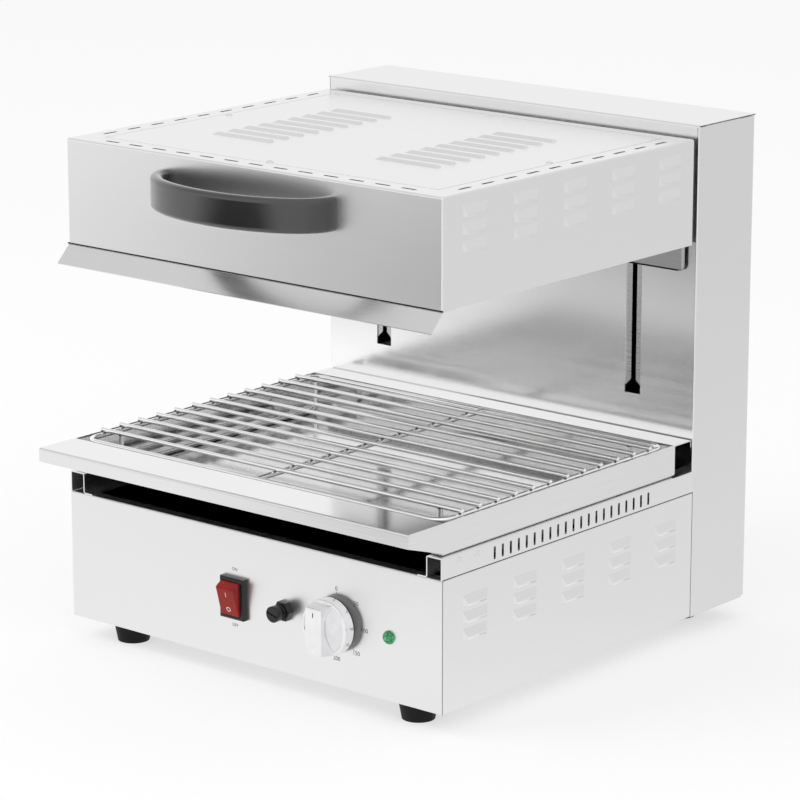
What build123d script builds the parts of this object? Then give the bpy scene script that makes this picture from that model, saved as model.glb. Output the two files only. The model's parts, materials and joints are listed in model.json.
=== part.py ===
import os

from build123d import *

# Salamander grill: a heated head that rises and falls on a rear column over a drip tray and rack.
# Millimetres, +X to the right seen from the front, +Y to the back, +Z up, floor at Z = 0.

# Folded sheet
sheet = 1.2
bend = 2.0
seam = 0.4
flange = 12.0

# Body
body_width = 450.0
base_depth = 370.0
column_depth = 89.0
foot_height = 20.0
base_height = 122.5
column_height = 470.0

# Head
head_width = 446.0
head_height = 98.5
head_setback = 2.0
head_drop = 12.0
head_gap = 3.0
head_travel = 125.0
plate_thick = 3.0
plate_overhang = 26.5
plate_inset = 10.0
plate_round = 6.0
plate_edge = 2.4
visor_reach = 15.0
visor_drop = 16.5
visor_tab = 18.0

# Handle bow
handle_reach = 56.0
handle_half = 105.0
handle_band = 12.0
handle_tall = 31.0
handle_below_top = 29.5
handle_round = 4.5
handle_screw_deep = 11.0

# Tray, rails and rack
rail_height = 20.0
rail_width = 17.5
rail_foot = 10.0
rail_slots = 21
rail_slot_pitch = 11.35
rail_slot_wide = 3.0
rail_slot_tall = 12.0
rail_slot_first = 73.0
rail_slot_low = 1.0
rail_bend = 1.6
rail_screw_first = 25.0
rail_screw_pitch = 24.5
rail_screw_high = 3.0
tray_depth = 30.5
tray_sheet = 1.0
tray_inset = 2.0
tray_setback = 3.5
tray_length = 340.0
lip_reach = 46.0
lip_drop = 13.0
ledge_gap = 1.0
ledge_drop = 7.0
rack_gap = 4.0
rack_round = 14.0
frame_wire = 5.0
rod_wire = 4.0
rod_count = 12
rod_past = 3.0
rack_proud = 1.0
weld_gap = 0.05
leg_inset = 22.0
leg_bend = 8.0
leg_rest = 0.3

# Louvres pressed out of the side panels, the head cover and the rear cover
louvre_long = 34.0
louvre_tall = 10.0
louvre_rise = 2.6
louvre_columns = 5
louvre_rows = 3
louvre_column_pitch = 70.4
louvre_row_pitch = 15.3
head_louvre_below_top = 31.0
base_louvre_below_top = 40.0
louvre_shift = 1.5
rib_long = 70.0
rib_wide = 9.0
rib_rise = 2.0
rib_count = 9
rib_pitch = 20.7
rib_group_x = 98.5

# Head cover and the vent slots around it
cover_border = 25.0
cover_rear_border = 14.5
cover_gap = 0.5
cover_ledge = 11.0
vent_long = 16.5
vent_wide = 3.4
vent_inset = 12.5
vent_front_count = 13
vent_front_pitch = 29.3
vent_side_count = 10
vent_side_pitch = 31.4

# Column sheet, slots, guide channels and lifting gear
cap_return = 13.0
column_corner = 8.0
slot_x = 153.5
slot_wide = 18.0
slot_above_rim = 34.0
slot_head_room = 8.0
guide_wide = 30.0
guide_deep = 24.0
guide_sheet = 1.5
guide_slit = 5.5
guide_mouth = 7.0
arm_thick = 3.0
arm_tall = 48.0
arm_edge = 12.0
arm_stop = 2.0
arm_past_pin = 7.0
arm_round = 5.0
roller_gap = 0.3
roller_wide = 8.0
roller_side = 0.6
roller_edge = 1.0
roller_pin_radius = 3.0
pulley_radius = 20.0
pulley_flange = 4.0
pulley_wide = 9.0
pulley_edge = 1.0
pulley_below_top = 44.0
pulley_pin_radius = 4.0
beam_sheet = 1.5
beam_side_gap = 1.5
beam_below_pin = 10.0
beam_below_cap = 2.0
pin_head = 2.5
rope_radius = 1.5
running = 0.05
weight_tall = 90.0
weight_deep = 54.0
weight_past_rope = 11.0
weight_below_pulley = 152.0
weight_gap = 3.0
weight_chamfer = 2.0

# Heating
liner_inset = 18.0
liner_tall = 48.0
element_radius = 4.0
element_pitch = 65.0
element_count = 3
element_above_bottom = 16.0
element_front = 45.0
element_bend = 30.0
element_tail = 3.0
terminal_radius = 2.0
terminal_long = 6.0
support_thick = 1.5
support_tall_below = 7.0
hanger_first = 97.0
hanger_pitch = 140.0
hanger_inset = 20.0
hanger_slot_long = 45.0
hanger_slot_tall = 14.0
hanger_slot_up = 18.0
insulation_thick = 25.0
insulation_round = 6.0
liner_round = 4.0

# Controls on the base front
control_pitch = 61.0
control_end = 59.5
control_drop = 1.75
blade_wide = 6.0
blade_thick = 0.8
blade_long = 8.0
switch_wide = 28.5
switch_tall = 39.0
switch_proud = 5.5
switch_wall = 3.0
switch_edge = 1.0
switch_body_deep = 24.0
switch_blade_pitch = 7.0
switch_pivot = 2.0
rocker_gap = 0.3
rocker_face = 9.0
rocker_tilt = 15.0
rocker_edge = 1.0
reset_hex = 17.0
reset_nut = 6.0
reset_bush = 6.5
reset_stem = 5.0
reset_cap = 7.5
reset_cap_long = 6.5
reset_travel = 2.0
reset_bush_proud = 3.0
reset_cap_gap = 0.5
reset_edge = 0.8
coin_slot_wide = 1.8
coin_slot_deep = 1.2
coin_slot_turn = 15.0
trip_wide = 28.0
trip_deep = 20.0
trip_tall = 24.0
trip_blade_pitch = 16.0
knob_radius = 26.0
knob_skirt = 2.5
skirt_edge = 1.0
knob_rim = 11.0
knob_edge = 1.5
knob_clear = 4.5
knob_dish = 1.0
knob_dish_inset = 3.0
grip_root_wide = 22.5
grip_root_tall = 47.0
grip_wide = 18.5
grip_tall = 43.0
grip_reach = 14.0
grip_edge = 1.2
spindle_radius = 3.0
spindle_collar = 1.6
spindle_in = 8.0
regulator_gap = 3.0
regulator_wide = 44.0
regulator_deep = 36.0
regulator_tall = 40.0
regulator_chamfer = 4.0
regulator_blade_pitch = 10.0
lamp_radius = 6.5
lamp_dome = 5.0
lamp_step = 1.0
lamp_body_deep = 24.0
lamp_nut = 3.0

# Feet and cable entry
foot_top = 18.0
foot_bottom = 15.0
foot_inset_x = 50.0
foot_inset_front = 29.0
foot_inset_rear = 36.0
foot_rim = 4.0
stud_radius = 3.0
stud_past_nut = 2.0
nut_radius = 5.8
nut_tall = 5.0
screw_head = 3.5
screw_shank = 2.0
screw_rise = 2.0
gland_reach = 10.0
gland_radius = 11.0
gland_hex = 5.5
gland_thread = 8.0
gland_dome = 8.8
gland_edge = 2.0
gland_inside = 12.0
gland_nut = 4.0
cable_radius = 4.5
gland_x = -150.0
gland_z = 70.0

# Mains terminal block and floor vents
terminal_from_gland = 45.0
terminal_from_back = 38.4
terminal_wide = 56.0
terminal_deep = 24.0
terminal_tall = 18.0
terminal_hole = 3.0
terminal_hole_deep = 9.0
terminal_pitch_x = 18.0
terminal_pitch_y = 12.0
floor_slot_long = 33.0
floor_slot_wide = 4.0
floor_slot_columns = 3
floor_slot_rows = 6
floor_slot_pitch_x = 66.0
floor_slot_pitch_y = 14.0

# Planes and levels worked out from the sizes above
half = body_width / 2
head_half = head_width / 2
overall_depth = handle_reach - head_setback + base_depth + column_depth + gland_reach
front_y = handle_reach - head_setback - overall_depth / 2
column_y = front_y + base_depth
back_y = column_y + column_depth
floor_z = foot_height
base_top = floor_z + base_height
rail_top = base_top + rail_height
rim_z = rail_top + tray_depth
column_top = floor_z + column_height
head_front = front_y + head_setback
head_top = column_top - head_drop
head_bottom = head_top - head_height
plate_back = column_y - head_gap
head_back = plate_back - plate_thick
control_z = floor_z + base_height / 2 - control_drop
splash_in = column_y + sheet
guide_mid = splash_in + guide_deep / 2
slot_bottom = rim_z + slot_above_rim
arm_bottom = slot_bottom + arm_stop + head_travel
arm_top = arm_bottom + arm_tall
slot_top = arm_top + slot_head_room
guide_bottom = slot_bottom - arm_stop
guide_top = slot_top + slot_head_room
roller_radius = (guide_deep - 2 * guide_sheet) / 2 - roller_gap
pulley_z = column_top - pulley_below_top
pulley_x = slot_x - pulley_radius
fall_x = slot_x - 2 * pulley_radius
weight_top = pulley_z - weight_below_pulley
liner_top = head_bottom + liner_tall
liner_back = head_back - liner_inset
element_z = head_bottom + element_above_bottom
tray_half = half - tray_inset
tray_front = front_y + tray_setback
tray_back = tray_front + tray_length
lip_front = tray_front - lip_reach
louvre_mid = front_y + base_depth / 2 + louvre_shift
control_first = half - control_end - 3 * control_pitch
os.makedirs("parts", exist_ok=True)


def block(x0, x1, y0, y1, z0, z1, mode=Mode.ADD):
    with Locations(((x0 + x1) / 2, (y0 + y1) / 2, (z0 + z1) / 2)):
        Box(x1 - x0, y1 - y0, z1 - z0, mode=mode)


def rod(start, end, radius, mode=Mode.ADD):
    axis = Vector(end) - Vector(start)
    with BuildSketch(Plane(origin=start, z_dir=axis)) as ring:
        Circle(radius)
    extrude(ring.sketch, amount=axis.length, mode=mode)


def fold(plane, corners, length, side, thick=sheet, radius=bend):
    with BuildSketch(plane) as outline:
        with BuildLine():
            FilletPolyline(*corners, radius=radius)
            offset(amount=thick, side=side)
        make_face()
    extrude(outline.sketch, amount=length)


def wire(corners, diameter, radius):
    with BuildLine() as path:
        FilletPolyline(*corners, radius=radius)
    with BuildSketch(Plane(origin=path.line @ 0, z_dir=path.line % 0)) as ring:
        Circle(diameter / 2)
    sweep(ring.sketch, path=path.line)


# A louvre is a hood drawn out of the sheet, closed at the top and both ends and open along its lower edge.
# Its own X points out of the sheet, its Y runs along the louvre and its opening faces its own -Z.
def louvre(long, tall, rise):
    with BuildPart() as hood:
        with BuildSketch(Plane.YZ):
            Rectangle(long, tall)
        with BuildSketch(Plane.YZ.offset(rise)):
            with Locations((0, -tall / 2 + sheet)):
                Rectangle(long - 3 * rise, 2 * sheet)
        loft(ruled=True)
    with BuildPart() as void:
        with BuildSketch(Plane.YZ.offset(-2 * sheet)):
            with Locations((0, -sheet)):
                Rectangle(long - 2 * sheet, tall - 2 * sheet)
        with BuildSketch(Plane.YZ.offset(rise - sheet)):
            with Locations((0, -tall / 2 + sheet / 2)):
                Rectangle(long - 3 * rise - 2 * sheet, sheet)
        loft(ruled=True)
    return hood.part, void.part


def press_louvres(places, shapes):
    with Locations(*places):
        add(shapes[0])
        add(shapes[1], mode=Mode.SUBTRACT)


side_louvre = louvre(louvre_long, louvre_tall, louvre_rise)
cover_rib = louvre(rib_long, rib_wide, rib_rise)


def side_places(outer_x, mid_z):
    places = []
    turn = 1 if outer_x > 0 else -1
    for column in range(louvre_columns):
        y = louvre_mid + (column - (louvre_columns - 1) / 2) * louvre_column_pitch
        for row in range(louvre_rows):
            z = mid_z + (row - (louvre_rows - 1) / 2) * louvre_row_pitch
            places.append(Plane((outer_x, y, z), x_dir=(turn, 0, 0), z_dir=(0, 0, 1)))
    return places


# Pan-head screw: head on its own +Z side of the sheet it holds, shank below.
def pan_screw(shank):
    with BuildPart() as screw:
        Cylinder(screw_shank, shank, align=(Align.CENTER, Align.CENTER, Align.MAX))
        Cone(screw_head, screw_head - screw_rise / 2, screw_rise,
             align=(Align.CENTER, Align.CENTER, Align.MIN))
    return screw.part


# Flat spade terminals that stand out at the back of a control
def spades(places, back):
    for x, z in places:
        block(x - blade_wide / 2, x + blade_wide / 2, back, back + blade_long, z - blade_thick / 2,
              z + blade_thick / 2)


def save(builder, label):
    builder.part.label = label
    export_step(builder.part, "parts/" + label + ".step")


# Base box

with BuildPart() as base_front:
    fold(
        Plane.YZ.offset(-half),
        [(front_y + flange, floor_z), (front_y, floor_z), (front_y, base_top),
         (front_y + flange, base_top)],
        body_width,
        Side.RIGHT,
    )
    for end in (-1, 1):
        corner_in = end * (half - flange - seam)
        block(min(corner_in, end * half), max(corner_in, end * half), front_y + sheet, front_y + 2 * flange,
              floor_z - 1, base_top + 1, Mode.SUBTRACT)
    with BuildSketch(Plane((0, front_y, control_z), x_dir=(1, 0, 0), z_dir=(0, -1, 0))) as control_holes:
        with Locations((control_first, 0)):
            Rectangle(switch_wide - switch_wall + 2 * running, switch_tall - switch_wall + 2 * running)
        with Locations((control_first + control_pitch, 0)):
            Circle(reset_bush + running)
        with Locations((control_first + 2 * control_pitch, 0)):
            Circle(spindle_radius + spindle_collar + seam)
        with Locations((control_first + 3 * control_pitch, 0)):
            Circle(lamp_radius - lamp_step + running)
    extrude(amount=flange / 2, both=True, mode=Mode.SUBTRACT)
save(base_front, "base_front")

for side_name, hand in (("left", -1), ("right", 1)):
    with BuildPart() as base_side:
        fold(
            Plane((0, column_y - seam, 0), x_dir=(hand, 0, 0), z_dir=(0, -1, 0) if hand > 0 else (0, 1, 0)),
            [(half - flange, floor_z), (half, floor_z), (half, base_top), (half - flange, base_top)],
            (base_depth - sheet - 2 * seam) * hand,
            Side.LEFT,
        )
        press_louvres(side_places(hand * half, base_top - base_louvre_below_top), side_louvre)
    save(base_side, "base_side_" + side_name)

floor_back = back_y - 2 * sheet
floor_half = half - sheet - bend
floor_front = front_y + sheet + bend
foot_x = half - foot_inset_x
foot_places = [
    (x, y) for x in (-foot_x, foot_x) for y in (front_y + foot_inset_front, back_y - foot_inset_rear)
]
with BuildPart() as base_floor:
    fold(
        Plane.YZ.offset(-floor_half),
        [(floor_front, floor_z + sheet), (floor_back, floor_z + sheet), (floor_back, floor_z + 2 * flange)],
        2 * floor_half,
        Side.LEFT,
    )
    for end in (-1, 1):
        block(min(end * (half - 2 * flange), end * half), max(end * (half - 2 * flange), end * half),
              floor_back - 2 * flange, floor_back + 1, floor_z, floor_z + 3 * flange, Mode.SUBTRACT)
    with BuildSketch(Plane.XY.offset(floor_z + sheet)):
        with Locations(*foot_places):
            Circle(stud_radius + running)
        with Locations((0, front_y + base_depth / 2)):
            with GridLocations(floor_slot_pitch_x, floor_slot_pitch_y, floor_slot_columns, floor_slot_rows):
                Rectangle(floor_slot_long, floor_slot_wide)
    extrude(amount=2 * sheet, both=True, mode=Mode.SUBTRACT)
save(base_floor, "base_floor")

with BuildPart() as base_deck:
    block(-floor_half, floor_half, floor_front, column_y - seam, base_top - 2 * sheet, base_top - sheet)
save(base_deck, "base_deck")

# Slotted rails that carry the tray: outer wall, top, inner wall and an inward foot

rail_in = half - rail_width
rail_mid = base_top + rail_height / 2
rail_screw_places = [rail_screw_first, rail_screw_first + rail_screw_pitch]
for side_name, hand in (("left", -1), ("right", 1)):
    with BuildPart() as rail:
        fold(
            Plane((0, column_y - seam, 0), x_dir=(hand, 0, 0), z_dir=(0, -1, 0) if hand > 0 else (0, 1, 0)),
            [(half, base_top), (half, rail_top), (rail_in, rail_top), (rail_in, base_top + sheet),
             (rail_in - rail_foot, base_top + sheet)],
            (base_depth - seam) * hand,
            Side.LEFT,
            radius=rail_bend,
        )
        with BuildSketch(Plane((hand * half, front_y, rail_mid), x_dir=(0, 1, 0), z_dir=(1, 0, 0))):
            with Locations((rail_slot_first + (rail_slots - 1) / 2 * rail_slot_pitch, -rail_slot_low)):
                with GridLocations(rail_slot_pitch, 0, rail_slots, 1):
                    SlotOverall(rail_slot_tall, rail_slot_wide, rotation=90)
            with Locations(*[(along, rail_screw_high) for along in rail_screw_places]):
                Circle(screw_shank + running)
        extrude(amount=3 * sheet, both=True, mode=Mode.SUBTRACT)
    save(rail, "rail_" + side_name)

with BuildPart() as rail_screws:
    with Locations(*[
        Plane((hand * half, front_y + along, rail_mid + rail_screw_high), z_dir=(hand, 0, 0))
        for hand in (-1, 1) for along in rail_screw_places
    ]):
        add(pan_screw(rail_width / 2))
save(rail_screws, "rail_screws")

# Feet with moulded studs

with BuildPart() as feet:
    with BuildSketch(Plane.XZ) as foot_profile:
        with BuildLine():
            Polyline((0, 0), (foot_bottom, 0), (foot_top, foot_height - foot_rim), (foot_top, foot_height),
                     (foot_top / 2, foot_height), (foot_top / 2, foot_height + sheet),
                     (stud_radius, foot_height + sheet),
                     (stud_radius, foot_height / 2), (0, foot_height / 2), close=True)
        make_face()
    foot = revolve(foot_profile.sketch, axis=Axis.Z, mode=Mode.PRIVATE)
    with Locations(*foot_places):
        add(foot)
save(feet, "feet")

with BuildPart() as foot_studs:
    with Locations(*[(x, y, foot_height / 2) for x, y in foot_places]):
        Cylinder(stud_radius, foot_height / 2 + 2 * sheet + nut_tall + stud_past_nut,
                 align=(Align.CENTER, Align.CENTER, Align.MIN))
    with BuildSketch(Plane.XY.offset(floor_z + 2 * sheet)):
        with Locations(*foot_places):
            RegularPolygon(radius=nut_radius, side_count=6)
    extrude(amount=nut_tall)
save(foot_studs, "foot_studs")

# Drip tray: a pan with a forward lip, slanting cheeks under the lip and a rear ledge

with BuildPart() as drip_tray:
    block(-tray_half, tray_half, tray_front, tray_back, rail_top, rim_z)
    fillet(drip_tray.edges().group_by(Axis.Z)[0], radius=2 * bend)
    offset(amount=-tray_sheet, openings=drip_tray.faces().sort_by(Axis.Z)[-1])
    fold(
        Plane.YZ.offset(-tray_half),
        [(tray_front + tray_sheet, rim_z), (lip_front, rim_z), (lip_front, rim_z - lip_drop)],
        2 * tray_half,
        Side.LEFT,
        tray_sheet,
    )
    fold(
        Plane.YZ.offset(-tray_half),
        [(tray_back - tray_sheet, rim_z), (column_y - ledge_gap, rim_z),
         (column_y - ledge_gap, rim_z - ledge_drop)],
        2 * tray_half,
        Side.RIGHT,
        tray_sheet,
    )
    for cheek_x in (-tray_half, tray_half - tray_sheet):
        with BuildSketch(Plane.YZ.offset(cheek_x)):
            with BuildLine():
                Polyline((tray_front + tray_sheet, rim_z - tray_sheet),
                         (lip_front + bend, rim_z - tray_sheet),
                         (lip_front + tray_sheet / 2, rim_z - bend),
                         (lip_front + tray_sheet / 2, rim_z - lip_drop),
                         (tray_front - bend, rail_top + 2 * bend),
                         (tray_front + tray_sheet, rail_top + 2 * bend),
                         close=True)
            make_face()
        extrude(amount=tray_sheet)
save(drip_tray, "drip_tray")

# Wire rack: rounded frame, cross rods, one centre wire and two U legs that stand on the tray floor.
# Frame, legs and rods meet at their welds with a hair of room.

frame_z = rim_z - frame_wire / 2 + rack_proud
rack_half = tray_half - tray_sheet - rack_gap - frame_wire / 2
rack_front = tray_front + tray_sheet + rack_gap + frame_wire / 2
rack_back = tray_back - tray_sheet - rack_gap - frame_wire / 2
rod_z = frame_z + (frame_wire + rod_wire) / 2 + weld_gap
rod_pitch = (rack_back - rack_front) / (rod_count + 1)
leg_z = rail_top + tray_sheet + leg_rest + frame_wire / 2
leg_top = rod_z - rod_wire / 2 - weld_gap
with BuildPart() as wire_rack:
    wire(
        [(0, rack_front, frame_z), (rack_half, rack_front, frame_z), (rack_half, rack_back, frame_z),
         (0, rack_back, frame_z)],
        frame_wire, rack_round,
    )
    wire(
        [(rack_half - leg_inset, rack_front + rod_pitch, leg_top),
         (rack_half - leg_inset, rack_front + rod_pitch, leg_z),
         (rack_half - leg_inset, rack_back - rod_pitch, leg_z),
         (rack_half - leg_inset, rack_back - rod_pitch, leg_top)],
        frame_wire, leg_bend,
    )
    mirror(about=Plane.YZ)
save(wire_rack, "wire_rack")

with BuildPart() as rack_rods:
    for step in range(rod_count):
        y = rack_front + (step + 1) * rod_pitch
        rod((-rack_half - rod_past, y, rod_z), (rack_half + rod_past, y, rod_z), rod_wire / 2)
    centre_end = frame_wire / 2 + weld_gap
    rod((0, rack_front + centre_end, frame_z), (0, rack_back - centre_end, frame_z), frame_wire / 2)
save(rack_rods, "rack_rods")

# Column: one sheet folded round the front and both sides, with two lifting slots

wrap_top = column_top - sheet - seam
cover_bottom = floor_z + 2 * flange
back_screw_places = [
    (x, z) for x in (-half + flange / 2 + sheet, half - flange / 2 - sheet)
    for z in (cover_bottom + flange, (cover_bottom + wrap_top) / 2, wrap_top - flange)
]
with BuildPart() as column_wrap:
    fold(
        Plane.XY.offset(floor_z),
        [(half - flange, back_y - sheet), (half, back_y - sheet), (half, column_y), (-half, column_y),
         (-half, back_y - sheet), (-half + flange, back_y - sheet)],
        wrap_top - floor_z,
        Side.RIGHT,
    )
    block(-floor_half, floor_half, column_y - 1, column_y + 2 * sheet, floor_z - 1, base_top - flange,
          Mode.SUBTRACT)
    block(-half + bend, half - bend, column_y - 1, column_y + 2 * sheet, column_top - cap_return - seam,
          column_top,
          Mode.SUBTRACT)
    with BuildSketch(Plane((0, column_y, 0), x_dir=(1, 0, 0), z_dir=(0, -1, 0))):
        with Locations((-slot_x, (slot_bottom + slot_top) / 2), (slot_x, (slot_bottom + slot_top) / 2)):
            Rectangle(slot_wide, slot_top - slot_bottom)
    extrude(amount=2 * sheet, both=True, mode=Mode.SUBTRACT)
    with BuildSketch(Plane.YZ.offset(-half - 1)):
        with BuildLine():
            corner_y = back_y - sheet
            Line((corner_y, floor_z), (corner_y, floor_z + column_corner))
            RadiusArc((corner_y, floor_z + column_corner), (corner_y - column_corner, floor_z),
                      column_corner)
            Line((corner_y - column_corner, floor_z), (corner_y, floor_z))
        make_face()
    extrude(amount=body_width + 2, mode=Mode.SUBTRACT)
    with BuildSketch(Plane((0, back_y, 0), x_dir=(-1, 0, 0), z_dir=(0, 1, 0))):
        with Locations(*[(-x, z) for x, z in back_screw_places]):
            Circle(screw_shank + running)
    extrude(amount=-4 * sheet, mode=Mode.SUBTRACT)
save(column_wrap, "column_wrap")

with BuildPart() as column_cap:
    fold(
        Plane.YZ.offset(-half),
        [(back_y, column_top), (column_y, column_top), (column_y, column_top - cap_return)],
        body_width,
        Side.LEFT,
    )
    for hand in (-1, 1):
        inner, outer = sorted((hand * (half - bend - seam), hand * (half + 1)))
        block(inner, outer, column_y - 1, column_y + 2 * bend, column_top - 2 * cap_return,
              column_top - sheet - seam,
              Mode.SUBTRACT)
        inner, outer = sorted((hand * (half - 2 * sheet), hand * (half - sheet)))
        block(inner, outer, column_y + flange, back_y - 2 * flange, column_top - sheet - flange,
              column_top - sheet)
save(column_cap, "column_cap")

back_groups = [(-1, 0.25), (1, 0.25), (-1, 0.75), (1, 0.75)]
with BuildPart() as column_back:
    block(-half + sheet, half - sheet, back_y - sheet, back_y, floor_z + sheet, wrap_top)
    with BuildSketch(Plane((0, back_y, 0), x_dir=(-1, 0, 0), z_dir=(0, 1, 0))):
        with Locations(*[(-x, z) for x, z in back_screw_places]):
            Circle(screw_shank + running)
        with Locations((-gland_x, gland_z)):
            Circle(gland_thread + running)
    extrude(amount=2 * sheet, both=True, mode=Mode.SUBTRACT)
    press_louvres(
        [
            Plane((hand * body_width / 5, back_y, floor_z + share * column_height + row * louvre_row_pitch),
                  x_dir=(0, 1, 0), z_dir=(0, 0, 1))
            for hand, share in back_groups for row in range(louvre_rows)
        ],
        cover_rib,
    )
save(column_back, "column_back")

with BuildPart() as back_screws:
    with Locations(*[Plane((x, back_y, z), z_dir=(0, 1, 0)) for x, z in back_screw_places]):
        add(pan_screw(flange / 2))
save(back_screws, "back_screws")

with BuildPart() as cable_gland:
    with BuildSketch(Plane((gland_x, back_y, gland_z), z_dir=(0, 1, 0))):
        RegularPolygon(radius=gland_radius, side_count=6)
    extrude(amount=gland_hex)
    with BuildSketch(Plane((gland_x, back_y, gland_z), z_dir=(0, 1, 0))):
        Circle(gland_dome)
    extrude(amount=gland_reach)
    fillet(cable_gland.edges().filter_by(GeomType.CIRCLE).group_by(Axis.Y)[-1], radius=gland_edge)
    rod((gland_x, back_y, gland_z), (gland_x, back_y - gland_inside, gland_z), gland_thread)
    with BuildSketch(Plane((gland_x, back_y - sheet, gland_z), z_dir=(0, -1, 0))):
        RegularPolygon(radius=gland_radius, side_count=6)
    extrude(amount=gland_nut)
    rod((gland_x, back_y + gland_reach + 1, gland_z), (gland_x, back_y - gland_inside - 1, gland_z),
        cable_radius,
        Mode.SUBTRACT)
save(cable_gland, "cable_gland")

# Guide channels behind the slots, their lips cut back at 45 degrees above the slot's lower end

for side_name, hand in (("left", -1), ("right", 1)):
    x = hand * slot_x
    with BuildPart() as guide:
        fold(
            Plane((x, splash_in, guide_bottom)),
            [(guide_slit / 2, 0), (guide_wide / 2, 0), (guide_wide / 2, guide_deep),
             (-guide_wide / 2, guide_deep),
             (-guide_wide / 2, 0), (-guide_slit / 2, 0)],
            guide_top - guide_bottom,
            Side.LEFT,
            guide_sheet,
        )
        mouth = (slot_wide - guide_slit) / 2
        with BuildSketch(Plane((x, splash_in, slot_bottom), x_dir=(1, 0, 0), z_dir=(0, -1, 0))):
            with BuildLine():
                Polyline((-slot_wide / 2, -2 * arm_stop), (slot_wide / 2, -2 * arm_stop),
                         (slot_wide / 2, guide_mouth),
                         (guide_slit / 2, guide_mouth + mouth), (-guide_slit / 2, guide_mouth + mouth),
                         (-slot_wide / 2, guide_mouth), close=True)
            make_face()
        extrude(amount=2 * guide_sheet, both=True, mode=Mode.SUBTRACT)
    save(guide, "guide_" + side_name)

# Lifting arms through the slits, with their roller pins and rollers

pin_heights = {"lower": arm_bottom + arm_edge, "upper": arm_top - arm_edge}
pin_half = guide_wide / 2 - guide_sheet - 1
for side_name, hand in (("left", -1), ("right", 1)):
    with BuildPart() as arm:
        with BuildSketch(Plane.YZ.offset(hand * slot_x)):
            with BuildLine():
                Polyline((plate_back, arm_bottom), (guide_mid + arm_past_pin, arm_bottom),
                         (guide_mid + arm_past_pin, arm_top), (plate_back, arm_top), close=True)
            make_face()
            with Locations(*[(guide_mid, z) for z in pin_heights.values()]):
                Circle(roller_pin_radius, mode=Mode.SUBTRACT)
        extrude(amount=arm_thick / 2, both=True)
        fillet(arm.edges().filter_by(Axis.X).group_by(Axis.Y)[-1], radius=arm_round)
    save(arm, "arm_" + side_name)

with BuildPart() as roller_pins:
    for hand in (-1, 1):
        for z in pin_heights.values():
            rod((hand * slot_x - pin_half, guide_mid, z), (hand * slot_x + pin_half, guide_mid, z),
                roller_pin_radius)
save(roller_pins, "roller_pins")

for side_name, hand in (("left", -1), ("right", 1)):
    for level, z in pin_heights.items():
        with BuildPart() as rollers:
            for face in (-1, 1):
                start = hand * slot_x + face * (arm_thick / 2 + roller_side)
                rod((start, guide_mid, z), (start + face * roller_wide, guide_mid, z), roller_radius)
            chamfer(rollers.edges().filter_by(GeomType.CIRCLE), length=roller_edge)
            rod((hand * slot_x - guide_wide, guide_mid, z), (hand * slot_x + guide_wide, guide_mid, z),
                roller_pin_radius + running, Mode.SUBTRACT)
        save(rollers, "rollers_" + side_name + "_" + level)

# Counterbalance: pulleys on a cross beam, wire ropes and one weight

beam_y = pulley_wide / 2 + beam_side_gap
beam_top = column_top - cap_return - beam_below_cap
beam_half = half - sheet
with BuildPart() as pulley_beam:
    fold(
        Plane.YZ.offset(-beam_half),
        [(guide_mid - beam_y - beam_sheet, pulley_z - beam_below_pin),
         (guide_mid - beam_y - beam_sheet, beam_top),
         (guide_mid + beam_y + beam_sheet, beam_top),
         (guide_mid + beam_y + beam_sheet, pulley_z - beam_below_pin)],
        2 * beam_half,
        Side.RIGHT,
        beam_sheet,
    )
    for hand in (-1, 1):
        rod((hand * pulley_x, guide_mid - 2 * beam_y, pulley_z),
            (hand * pulley_x, guide_mid + 2 * beam_y, pulley_z),
            pulley_pin_radius, Mode.SUBTRACT)
save(pulley_beam, "pulley_beam")

with BuildPart() as pulley_pins:
    for hand in (-1, 1):
        pin_end = beam_y + beam_sheet
        rod((hand * pulley_x, guide_mid - pin_end, pulley_z),
            (hand * pulley_x, guide_mid + pin_end, pulley_z),
            pulley_pin_radius)
        rod((hand * pulley_x, guide_mid + pin_end, pulley_z),
            (hand * pulley_x, guide_mid + pin_end + pin_head, pulley_z),
            pulley_pin_radius + pin_head)
save(pulley_pins, "pulley_pins")

groove = pulley_radius - rope_radius - roller_gap
for side_name, hand in (("left", -1), ("right", 1)):
    hub = Vector(hand * pulley_x, guide_mid, pulley_z)
    with BuildPart() as pulley:
        with BuildSketch(Plane(hub)):
            with BuildLine():
                Polyline((pulley_pin_radius + running, -pulley_wide / 2),
                         (pulley_radius + pulley_flange, -pulley_wide / 2),
                         (pulley_radius + pulley_flange, -pulley_wide / 2 + pulley_edge),
                         (groove, -rope_radius - roller_gap), (groove, rope_radius + roller_gap),
                         (pulley_radius + pulley_flange, pulley_wide / 2 - pulley_edge),
                         (pulley_radius + pulley_flange, pulley_wide / 2),
                         (pulley_pin_radius + running, pulley_wide / 2),
                         close=True)
            make_face()
        revolve(axis=Axis(hub, (0, 1, 0)))
    save(pulley, "pulley_" + side_name)

with BuildPart() as lift_ropes:
    for hand in (-1, 1):
        rod((hand * slot_x, guide_mid, arm_top), (hand * slot_x, guide_mid, pulley_z), rope_radius)
save(lift_ropes, "lift_ropes")

with BuildPart() as rope_wraps:
    for hand in (-1, 1):
        with BuildSketch(Plane((hand * slot_x, guide_mid, pulley_z))):
            Circle(rope_radius)
        revolve(axis=Axis((hand * pulley_x, guide_mid, pulley_z), (0, 1, 0)), revolution_arc=-180 * hand)
save(rope_wraps, "rope_wraps")

with BuildPart() as fall_ropes:
    for hand in (-1, 1):
        rod((hand * fall_x, guide_mid, weight_top), (hand * fall_x, guide_mid, pulley_z), rope_radius)
save(fall_ropes, "fall_ropes")

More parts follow.
